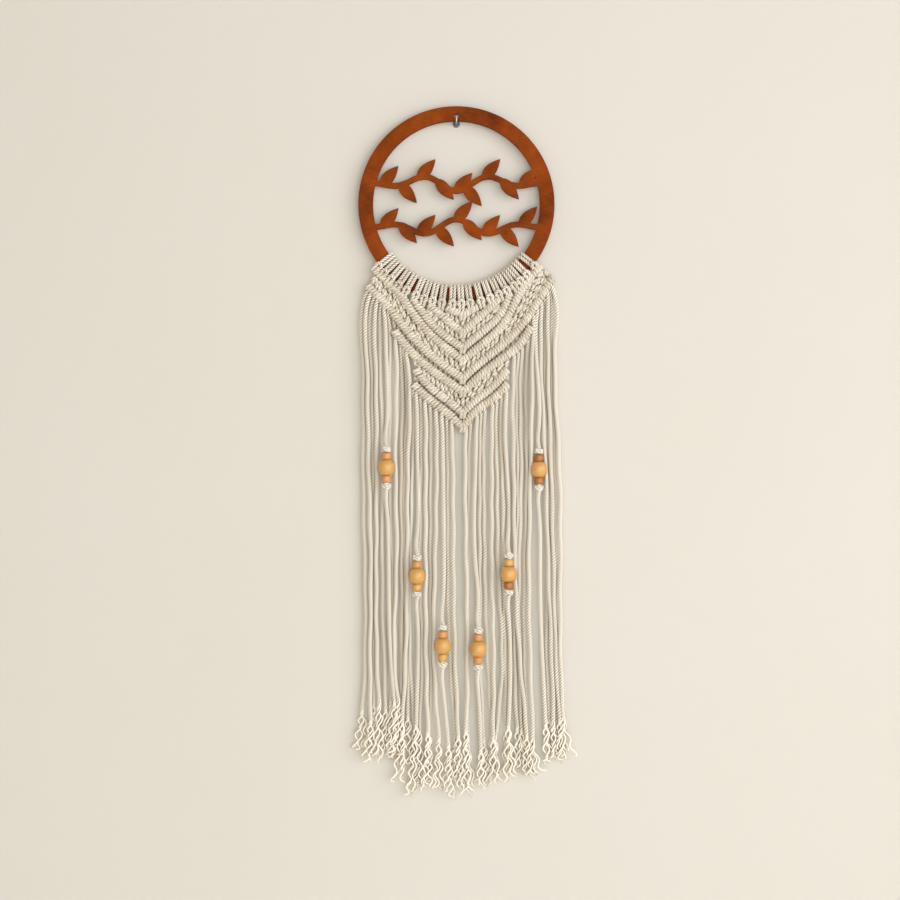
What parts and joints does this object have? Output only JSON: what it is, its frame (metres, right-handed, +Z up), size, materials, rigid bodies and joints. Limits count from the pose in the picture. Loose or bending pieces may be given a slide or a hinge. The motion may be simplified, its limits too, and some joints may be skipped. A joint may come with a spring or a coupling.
{
  "type": "macrame wall hanging on a round openwork board with its wall hook",
  "caption": "Knotted cotton hanging with a chevron panel, long beaded strands and loose tips, on a round leafy fretwork board hung from a small hook.",
  "frame": {"origin": "on the wall, at the middle of the hook's flat back", "axes": "+Z up, +Y into the wall, the front faces -Y"},
  "size_m": [0.2224, 0.0261, 0.709],
  "materials": {
    "cotton_cord": "undyed twisted cotton, matt",
    "stained_board": "red-brown stain on thin fibreboard, satin",
    "bead_wood": "turned light wood, clear varnish",
    "bead_dark": "turned darker wood, clear varnish",
    "hook_steel": "bright plated wire"
  },
  "bodies": {
    "root": {"wall_hook": "hook_steel", "ring_board": "stained_board", "macrame": "cotton_cord", "bead_1_top": "bead_wood", "bead_1_large": "bead_wood", "bead_1_low": "bead_wood", "bead_2_top": "bead_dark", "bead_2_large": "bead_wood", "bead_2_low": "bead_wood", "bead_3_top": "bead_wood", "bead_3_large": "bead_wood", "bead_3_low": "bead_wood", "bead_4_top": "bead_wood", "bead_4_large": "bead_wood", "bead_4_low": "bead_dark", "bead_5_top": "bead_wood", "bead_5_large": "bead_wood", "bead_5_low": "bead_dark", "bead_6_top": "bead_dark", "bead_6_large": "bead_wood", "bead_6_low": "bead_dark"}
  },
  "joints": []
}
